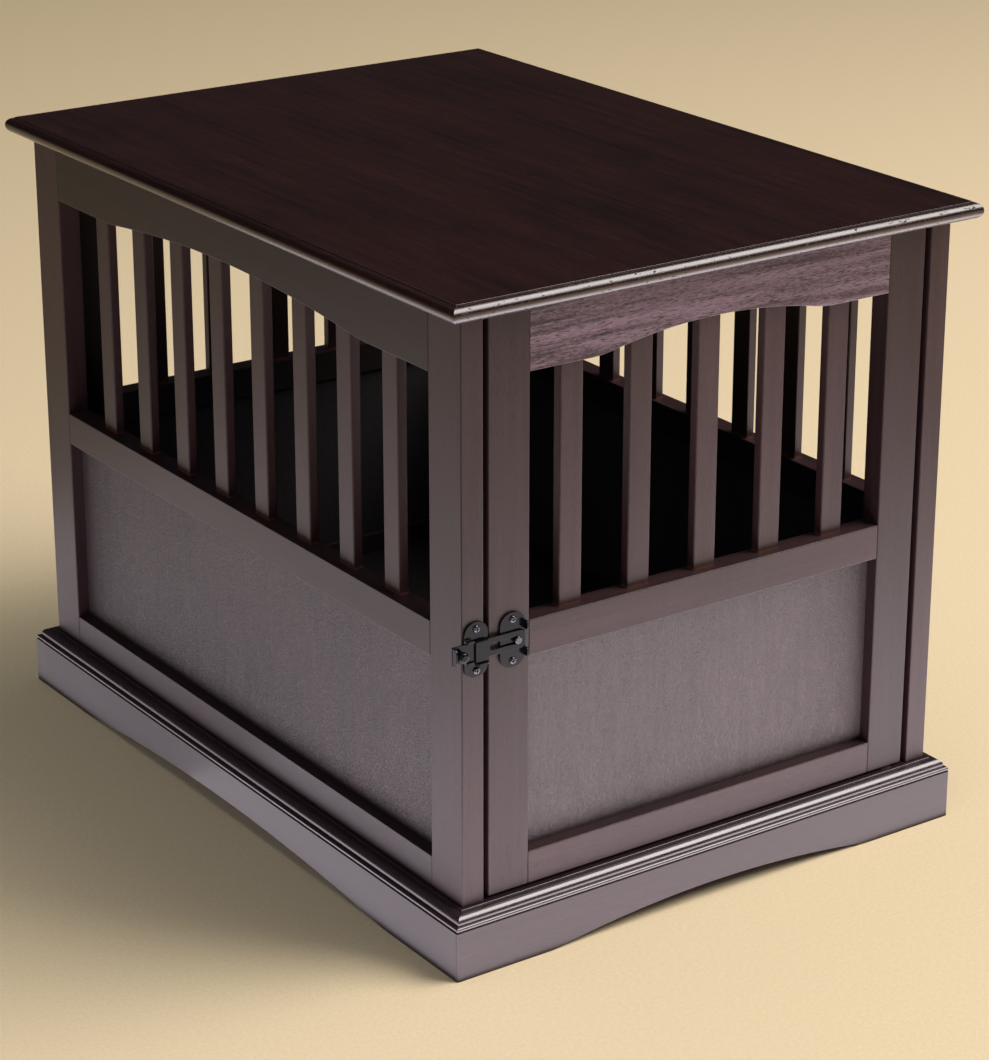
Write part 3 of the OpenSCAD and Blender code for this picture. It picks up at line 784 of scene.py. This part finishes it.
# %% [markdown]
# ## Moulded cap
# The cap is one moulding: a thin lip with a rounded nose, a bead, and a small ledge under the
# frames. It is built as a whole ring by insetting and extruding a slab, as a router would cut the
# steps round a board, and the ring is then sawn into its four mitred lengths.
# %% Sizes of the moulding
cap_low, cap_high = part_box("cap_front")
LIP_T, LIP_R = 4.4 * MM, 2.1 * MM
BEAD_BACK, BEAD_R = 3.6 * MM, 6.9 * MM
LEDGE_BACK, LEDGE_T = 3.0 * MM, 1.0 * MM
cap_x, cap_y = cap_high.x, -cap_low.y
cap_depth = cap_high.y - cap_low.y
print("cap section", round(cap_depth / MM, 1), "mm deep")


# %% Stepping the ring
def loop_at(height):
    """A test for the edges that lie level at one height."""
    return lambda a, b: abs(a.z - height) < TINY and abs(b.z - height) < TINY


def outer_step(piece, top, back, up, radius, segments):
    """Insets the top face and raises it, then rounds the new edge."""
    select_faces(piece, lambda c, n: n.z > 0.9 and abs(c.z - top) < TINY)
    bpy.ops.mesh.inset(thickness=back, depth=0)
    bpy.ops.mesh.extrude_region_move(TRANSFORM_OT_translate={"value": (0, 0, up)})
    leave_edit()
    ease(piece, radius, segments, loop_at(top + up))
    return top + up


ring = block("cap_ring", (-cap_x, -cap_y, cap_low.z), (cap_x, cap_y, cap_low.z + LIP_T))
ease(ring, LIP_R, 5, lambda a, b: abs(a.z - b.z) < TINY)
level = cap_low.z + LIP_T
level = outer_step(ring, level, BEAD_BACK - LIP_R, cap_high.z - LEDGE_T - level, BEAD_R, 10)
level = outer_step(ring, level, LEDGE_BACK, LEDGE_T, 0.4 * MM, 10)
SPARE = 10 * MM    # how far a cutting block passes what it cuts
well = block("cap_well", (-cap_x + cap_depth, -cap_y + cap_depth, cap_low.z - SPARE),
             (cap_x - cap_depth, cap_y - cap_depth, cap_high.z + SPARE))
combine(ring, well, "DIFFERENCE")
print("cap ring", len(ring.data.polygons), "faces, top at", round(level, 4))

# %% [markdown]
# ### Mitred lengths
# Each length is a copy of the whole ring with all but one side sawn away at the corners. The two
# sides of a mitre then meet exactly, with the same section, which separate mouldings rarely do.
# %% Sawing the ring
cuts = {
    "cap_front": [(Vector((1, 1, 0)), (1, -1)), (Vector((-1, 1, 0)), (-1, -1))],
    "cap_back": [(Vector((1, -1, 0)), (1, 1)), (Vector((-1, -1, 0)), (-1, 1))],
    "cap_left": [(Vector((1, -1, 0)), (-1, -1)), (Vector((1, 1, 0)), (-1, 1))],
    "cap_right": [(Vector((-1, -1, 0)), (1, -1)), (Vector((-1, 1, 0)), (1, 1))],
}
for node, planes in cuts.items():
    piece = copy_of(ring, node + "_moulding", (0, 0, 0))
    for normal, (sx, sy) in planes:
        saw(piece, (sx * cap_x, sy * cap_y, 0), normal * MITRE)
    lay_grain(polish(piece), "x" if node in ("cap_front", "cap_back") else "y", 0.45, 0.2)
    hang(piece, node, espresso_cap)
bpy.data.objects.remove(ring)
print("cap sawn into", len(cuts))

# %% [markdown]
# ## Tabletop
# The top is a slab whose edge was moulded to a full nose below a small step. The slab's upper and
# lower edges are rounded first, and then its top face is raised by the step, so that the crisp
# arris of the real moulding stays.
# %% The slab
def on_mitre(p):
    """True for a point of the nose that lies on a corner's mitre line."""
    in_x, in_y = top_high.x - abs(p.x), top_high.y - abs(p.y)
    return abs(in_x - in_y) < TINY and in_x < NOSE_R + TINY


STEP_ARRIS = 0.35 * MM
MIDDLE = 100 * MM    # the wide face is the one whose centre lies within this of the middle
slab = block("tabletop_slab", top_low, (top_high.x, top_high.y, top_high.z - NOSE_STEP))
ease(slab, NOSE_R, 12, lambda a, b: abs(a.z - b.z) < TINY)
ease(slab, NOSE_CORNER, 3, lambda a, b: on_mitre(a) and on_mitre(b))
select_faces(slab, lambda c, n: n.z > 0.99 and abs(c.x) < MIDDLE and abs(c.y) < MIDDLE)
bpy.ops.mesh.extrude_region_move(TRANSFORM_OT_translate={"value": (0, 0, NOSE_STEP)})
leave_edit()
ease(slab, STEP_ARRIS, 3, loop_at(top_high.z))
lay_grain(polish(slab), "y", 0.45, 0.45)
hang(slab, "tabletop", espresso_top)
print("tabletop", len(slab.data.polygons), "faces")

# %% [markdown]
# ## Hidden joinery
# Blocks, cleats and dowels hold the crate together out of sight. The blocks and cleats come in
# sets, so one is modelled and copied.
# %% Blocks and cleats
def in_a_set(node, size, axis, moves):
    """One eased stick and its copies, each with a grain of its own."""
    low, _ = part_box(node)
    first = polish(ease(block(node[:-1] + "_1", low, low + size), 1.0 * MM, 2))
    row = [first] + [copy_of(first, f"{node[:-1]}_{i}", move) for i, move in enumerate(moves, 2)]
    for piece in row:
        lay_grain(piece, axis, 0.3, 0.2)
        hang(piece, node, inside_stain_with_shade)
    print(node, len(row))


BLOCK, CLEAT = 30 * MM, 20 * MM
low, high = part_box("corner_blocks")
over_x, over_y = high.x - low.x - BLOCK, high.y - low.y - BLOCK
in_a_set("corner_blocks", Vector((BLOCK, BLOCK, high.z - low.z)), "z",
         [(over_x, 0, 0), (0, over_y, 0), (over_x, over_y, 0)])
low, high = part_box("top_cleats")
in_a_set("top_cleats", Vector((CLEAT, high.y - low.y, high.z - low.z)), "y",
         [(high.x - low.x - CLEAT, 0, 0)])

# %% [markdown]
# ## Latch
# The latch is stamped from 2 mm steel: a plate on the post, a plate on the door, and a bar that
# slides along its own slot. Each is a block with its corners rounded in plan, cut and joined with
# booleans, and every rim is eased by a few tenths, as tumbling leaves it.
# %% Latch sizes
face_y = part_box("door_latch_stile")[0].y
bar_low, bar_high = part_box("latch_bar")
latch_z = (bar_low.z + bar_high.z) / 2
post_low, post_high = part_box("latch_post_plate")
door_low, door_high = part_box("latch_door_plate")
PLATE_T = 2.0 * MM
RIM = 0.35 * MM         # tumbling rounds every rim by this
FREE_END = 4 * MM       # what stands further out than this is a lug's or an ear's free end
print("latch centre line at", round(latch_z, 4))


# %% Latch tools
def at_latch(x0, x1, z0, z1, y0, y1):
    """Corners of a block from its distances in front of the door's face and from the bar's line."""
    return (x0, face_y - y1, latch_z + z0), (x1, face_y - y0, latch_z + z1)


def plan_round(piece, radius, wanted, segments=8):
    """Rounds edges that run straight out of the face."""
    return ease(piece, radius, segments, lambda a, b: (
        abs(a.y - b.y) > TINY and (b - a).xz.length < TINY and wanted(a)))


def soften(piece, radius=RIM):
    """Eases every rim of a stamped part."""
    apply_modifier(piece, "BEVEL", width=radius, segments=3, limit_method="ANGLE",
                   angle_limit=math.radians(40), use_clamp_overlap=True)
    return polish(piece)


def plate(name, low, high):
    """A stamped plate whose ends are almost half rounds."""
    half = (high.z - low.z) / 2
    piece = block(name, *at_latch(low.x, high.x, -half, half, 0, PLATE_T))
    return plan_round(piece, 0.44 * (high.x - low.x), lambda p: True, 10)


print("rims eased by", round(RIM / MM, 2), "mm")

# %% [markdown]
# ### Two plates
# The plate on the post carries two lugs that guide the bar, and the plate on the door has two ears
# bent up at its edge, above and below the bar. A lug is a small block with its free end rounded,
# joined to the plate before the rims are eased, so that the inner corner is eased with them.
# %% Plate on the post
GUARD = 8.6 * MM    # the lugs and ears start this far from the bar's centre line
LUG_W, LUG_T, LUG_R = 8 * MM, 2 * MM, 1.5 * MM
post_plate = plate("latch_post_plate_steel", post_low, post_high)
for side in (-1, 1):
    z0, z1 = sorted((side * GUARD, side * (GUARD + LUG_T)))
    lug = block("lug", *at_latch(post_low.x, post_low.x + LUG_W, z0, z1, PLATE_T / 2,
                                  face_y - post_low.y))
    ease(lug, LUG_R, 4, lambda a, b: abs(a.z - b.z) > TINY and a.y < face_y - FREE_END)
    combine(post_plate, lug, "UNION")
hang(soften(post_plate), "latch_post_plate", black_paint)
print("post plate", len(post_plate.data.polygons), "faces")

# %% Plate on the door
door_plate = plate("latch_door_plate_steel", door_low, door_high)
guide_low, guide_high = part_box("latch_guide_pin")
guide_x = (guide_low.x + guide_high.x) / 2
EAR_T, EAR_REACH = 2 * MM, 16 * MM
ear_out = face_y - door_low.y
for side in (-1, 1):
    z0, z1 = sorted((side * GUARD, side * EAR_REACH))
    ear = block("ear", *at_latch(door_high.x - EAR_T, door_high.x, z0, z1, PLATE_T / 2, ear_out))
    ease(ear, LUG_R, 4, lambda a, b: abs(a.x - b.x) > TINY and a.y < face_y - FREE_END)
    combine(door_plate, ear, "UNION")
hang(soften(door_plate), "latch_door_plate", black_paint)
print("door plate", len(door_plate.data.polygons), "faces")

# %% [markdown]
# ### Bar and pull
# The bar is a strip with two round corners, a turned-up lip to push against, and a long slot that
# the guide pin stands in. The slot's length is the bar's travel, so it is read from the joint. A
# second strip, the pull, lies on the bar and is bent outwards at its lower end.
# %% Sliding bar
BAR_T, BAR_CORNER = 2.2 * MM, 4 * MM
LIP_W, LIP_CORNER = 2 * MM, 5 * MM
bar_back = face_y - bar_high.y
half_bar = (bar_high.z - bar_low.z) / 2
bar = block("latch_bar_steel", *at_latch(bar_low.x, bar_high.x, -half_bar, half_bar,
                                         bar_back, bar_back + BAR_T))
plan_round(bar, BAR_CORNER, lambda p: p.x > bar_high.x - TINY)
lip = block("lip", *at_latch(bar_low.x, bar_low.x + LIP_W, -half_bar, half_bar,
                             bar_back + BAR_T / 2, face_y - bar_low.y))
ease(lip, LIP_CORNER, 8, lambda a, b: abs(a.x - b.x) > TINY and a.y < bar_low.y + TINY)
combine(bar, lip, "UNION")
print("bar with its lip", len(bar.data.polygons), "faces")

# %% Slot in the bar
SLOT_R, SLOT_DEEP = 3.3 * MM, 8 * MM
travel = next(j for j in frame["joints"] if j["name"] == "latch_slide")["range_m"][1]
slot = block("slot", *at_latch(guide_x - travel - SLOT_R, guide_x + SLOT_R, -SLOT_R, SLOT_R,
                               0, SLOT_DEEP))
plan_round(slot, SLOT_R * 0.98, lambda p: True)
combine(bar, slot, "DIFFERENCE")
hang(soften(bar), "latch_bar", black_paint)
print("slot for a travel of", round(travel / MM, 1), "mm")

# %% Pull strip
pull_low, pull_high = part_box("latch_pull")
STRIP_T, STRIP_BEND = 1.8 * MM, 2.5 * MM
strip_low = pull_low.z - latch_z
on_bar = bar_back + BAR_T
strip = block("latch_pull_strip", *at_latch(pull_low.x, pull_high.x, strip_low,
                                            pull_high.z - latch_z, on_bar, on_bar + STRIP_T))
turn = block("turn", *at_latch(pull_low.x, pull_high.x, strip_low, strip_low + STRIP_T,
                               on_bar, face_y - pull_low.y))
ease(turn, STRIP_BEND, 5, lambda a, b: abs(a.z - b.z) > TINY and a.y < pull_low.y + TINY)
combine(strip, turn, "UNION")
hang(soften(strip), "latch_pull", black_paint)
print("pull strip", len(strip.data.polygons), "faces")

# %% [markdown]
# ### Knob, pin and screws
# The round parts start as cylinders lying along the door's depth. The knob has a neck and a domed
# face, and the screws have a low dome with a cross cut into it.
# %% Rods and rims
def rod(name, x, z, radius, y0, y1, sides=40):
    """A cylinder along the depth, from y0 to y1 in front of the door's face."""
    bpy.ops.object.select_all(action="DESELECT")
    bpy.ops.mesh.primitive_cylinder_add(vertices=sides, radius=radius, depth=y1 - y0,
                                        location=(x, face_y - (y0 + y1) / 2, z),
                                        rotation=(math.pi / 2, 0, 0))
    piece = bpy.context.object
    piece.name = name
    return settle(piece)


def rim_at(y):
    """A test for the round edge at one distance in front of the face."""
    return lambda a, b: abs(a.y - (face_y - y)) < TINY and abs(b.y - (face_y - y)) < TINY


print("round tools ready")

# %% Knob
KNOB_NECK = 3 * MM
knob_low, knob_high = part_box("latch_knob")
knob_x, knob_z = (knob_low.x + knob_high.x) / 2, (knob_low.z + knob_high.z) / 2
knob_r = (knob_high.x - knob_low.x) / 2
knob_out, knob_foot = face_y - knob_low.y, on_bar + KNOB_NECK
knob = rod("latch_knob_turned", knob_x, knob_z, knob_r, knob_foot, knob_out)
ease(knob, 2.6 * MM, 7, rim_at(knob_out))
ease(knob, 0.8 * MM, 3, rim_at(knob_foot))
neck = rod("neck", knob_x, knob_z, knob_r * 0.7, bar_back, knob_foot + MM)
hang(polish(combine(knob, neck, "UNION")), "latch_knob", black_paint)
print("knob", round(2 * knob_r / MM, 1), "mm across")

# %% Screws
CROSS_HALF, CROSS_DEEP = 0.42 * MM, 1.0 * MM
SUNK = 0.4 * MM    # how far a head passes into its plate, so that no gap shows


def pan_head(name, x, z, radius, y0, tall):
    """A low domed screw head with a cross recess."""
    head = rod(name, x, z, radius, y0 - SUNK, y0 + tall, 36)
    ease(head, tall * 0.9, 6, rim_at(y0 + tall))
    for turned in (0, 1):
        arm = (radius * 0.62, CROSS_HALF)
        half_x, half_z = arm if turned else arm[::-1]
        front = face_y - y0 - tall
        cross = block("cross", (x - half_x, front - MM, z - half_z),
                      (x + half_x, front + CROSS_DEEP, z + half_z))
        combine(head, cross, "DIFFERENCE")
    return polish(head)


for node, tag in (("latch_post_screws", "post"), ("latch_door_screws", "door")):
    low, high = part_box(node)
    head_r = (high.x - low.x) / 2
    centre_x = (low.x + high.x) / 2
    head_out = face_y - low.y
    for i, z in enumerate((low.z + head_r, high.z - head_r)):
        screw = pan_head(f"latch_{tag}_screw_{i + 1}", centre_x, z, head_r, PLATE_T,
                         head_out - PLATE_T)
        hang(screw, node, black_screw)
print("screw heads", round(2 * head_r / MM, 1), "mm across")

# %% Guide pin
GUIDE_HEAD_T, SHANK_R = 1.4 * MM, 3.0 * MM
guide_r = (guide_high.x - guide_low.x) / 2
guide_out = face_y - guide_low.y
rivet = rod("latch_guide_rivet", guide_x, latch_z, guide_r, guide_out - GUIDE_HEAD_T, guide_out)
ease(rivet, 1.0 * MM, 5, rim_at(guide_out))
shank = rod("shank", guide_x, latch_z, SHANK_R, 0, guide_out - GUIDE_HEAD_T / 2)
hang(polish(combine(rivet, shank, "UNION")), "latch_guide_pin", black_screw)
print("latch done")

# %% [markdown]
# ## Parts that stay as they are
# Pins, washers, dowels and cleat screws are simple turned parts whose exact shape is right. They
# keep their own meshes and only get their finishes.
# %% Finishes on kept parts
def finish_node(node, material):
    """Puts a material on a frame part that stays."""
    kept = frame["nodes"][node]
    kept.data.materials.clear()
    kept.data.materials.append(material)


for node in ("pivot_pin_bottom", "pivot_pin_top", "cleat_screws"):
    finish_node(node, zinc_plate)
finish_node("pivot_washers", nylon)
finish_node("back_dowels", dowel_wood)
shown = [n for n, o in frame["nodes"].items() if not o.hide_render]
print("frame parts still shown:", shown)

# %% [markdown]
# ## Studio
# The floor is plain and pale, with a faint mottle so that shadows have something to lie on. It is
# wide enough to fill the view, and it is marked as stage because it isn't part of the crate.
# %% Floor
MOTTLE = 3.846 * MM
FLOOR_R = 14    # metres
bpy.ops.object.select_all(action="DESELECT")
bpy.ops.mesh.primitive_circle_add(vertices=96, radius=FLOOR_R, fill_type="NGON", location=(0, 0, 0))
floor = bpy.context.object
floor.name = "floor"
settle(floor)
floor_mat, tree, shader = new_material("pale matte floor")
place = add(tree, "TexCoord", out="Object")
mottle = patches(tree, place, MOTTLE, MOTTLE, 3, 0.6)
pale = add(tree, "Mix", {0: mottle, 6: colour("#d3bf98"), 7: colour("#e6d6b3")}, **COLOURS)
tree.links.new(pale, shader.inputs["Base Color"])
shader.inputs["Roughness"].default_value = 0.9
floor.data.materials.append(floor_mat)
floor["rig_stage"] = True
print("floor", 2 * FLOOR_R, "m across")

# %% [markdown]
# ### Lights
# A large softbox hangs high in front of the door on the right and gives the long highlights on the
# nose and the bead. A wide sun stands for the light of the room. The world is dim, so that the
# lacquered top, which mirrors it, stays dark.
# %% Dim world
world = bpy.data.worlds.new("studio")
bpy.context.scene.world = world
world.use_nodes = True
world.node_tree.nodes["Background"].inputs["Color"].default_value = colour("#d4d6e0")
world.node_tree.nodes["Background"].inputs["Strength"].default_value = 0.03
print("world set")


# %% Lamps
def hang_lamp(name, kind, place, target, energy, tint):
    """A lamp at a place, turned to look at a target, and never seen by the camera itself."""
    data = bpy.data.lights.new(name, kind)
    data.energy = energy
    data.color = colour(tint)[:3]
    lamp = bpy.data.objects.new(name, data)
    bpy.context.collection.objects.link(lamp)
    lamp.location = place
    lamp.rotation_euler = (Vector(target) - Vector(place)).to_track_quat("-Z", "Y").to_euler()
    lamp.visible_camera = False
    return lamp


def softbox(name, place, target, size, glow, tint="#ffffff"):
    """A rectangular softbox; glow is its brightness, so that size and brightness stay apart."""
    lamp = hang_lamp(name, "AREA", place, target, glow * math.pi * size[0] * size[1], tint)
    lamp.data.shape = "RECTANGLE"
    lamp.data.size, lamp.data.size_y = size
    return lamp


key_way = Vector((0.54, -0.32, 0.78))
softbox("key_softbox", (3.1, -2.3, 4.1), (2.2, -0.4, 0.3), (3.4, 3.8), 8.0, "#fff8f6")
room = hang_lamp("room_light", "SUN", key_way * 4, (0, 0, 0), 1.1, "#fff8ee")
room.data.angle = math.radians(50)
softbox("overhead_softbox", (-0.4, 0.6, 3.4), (0, 0, 0.2), (2.4, 2.4), 1.1)
softbox("fill_softbox", (-2.6, -1.6, 1.6), (0, 0, 0.3), (1.6, 1.6), 2.6, "#eef0ff")
print("lamps hung")

# %% [markdown]
# ### Cards on the floor
# Lacquer seen from above mirrors the floor in front of it. White cards that shine upwards lie in
# front of the door and beside the crate, brightest close to it, and lift the lower half of the
# frames as a bright floor does.
# %% Floor cards
def floor_card(name, low, high, glow, tint="#ebe3ee"):
    """A white card lying on the floor, from one corner to the other, that shines upward."""
    size = (high[0] - low[0], high[1] - low[1])
    middle = Vector(((low[0] + high[0]) / 2, (low[1] + high[1]) / 2, 0.5 * MM))
    lamp = softbox(name, middle, middle + Vector((0, 0, 1)), size, glow, tint)
    lamp.rotation_euler = (math.pi, 0, 0)
    return lamp


floor_card("front_near_card", (-0.45, -0.86), (0.95, -0.40), 5.2)
floor_card("front_far_card", (-0.10, -1.40), (1.20, -0.86), 1.8)
floor_card("left_near_card", (-0.72, -0.86), (-0.29, 0.10), 3.0)
floor_card("left_rear_card", (-0.72, 0.10), (-0.29, 0.85), 1.7)
floor_card("left_far_card", (-1.20, -0.50), (-0.72, 1.10), 1.3)
print("cards laid")

# %% [markdown]
# ## Camera
# The camera looks down on the door's left corner from chair height with a long lens, so that both
# faces show and the lines stay nearly parallel.
# %% Camera
camera = bpy.data.objects.new("camera", bpy.data.cameras.new("camera"))
bpy.context.collection.objects.link(camera)
camera.location = (-1.6063, -2.3524, 1.3306)
camera.rotation_euler = (math.radians(90 - 19.916), 0, math.radians(-34.813))
camera.data.lens = 105
camera.data.sensor_width = 36
camera.data.shift_y = -0.06
camera.data.clip_end = 60
bpy.context.scene.camera = camera
bpy.context.scene.view_settings.view_transform = "Standard"
print("camera", round(camera.location.length, 2), "m away")

# %% [markdown]
# ## Sizes
# The new pieces have to fill the same box as the frame they stand for, so the box of all shown
# pieces, apart from the floor, is printed.
# %% Sizes and the end
low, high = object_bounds()
print("visual box", [round(v, 4) for v in (*low, *high)])
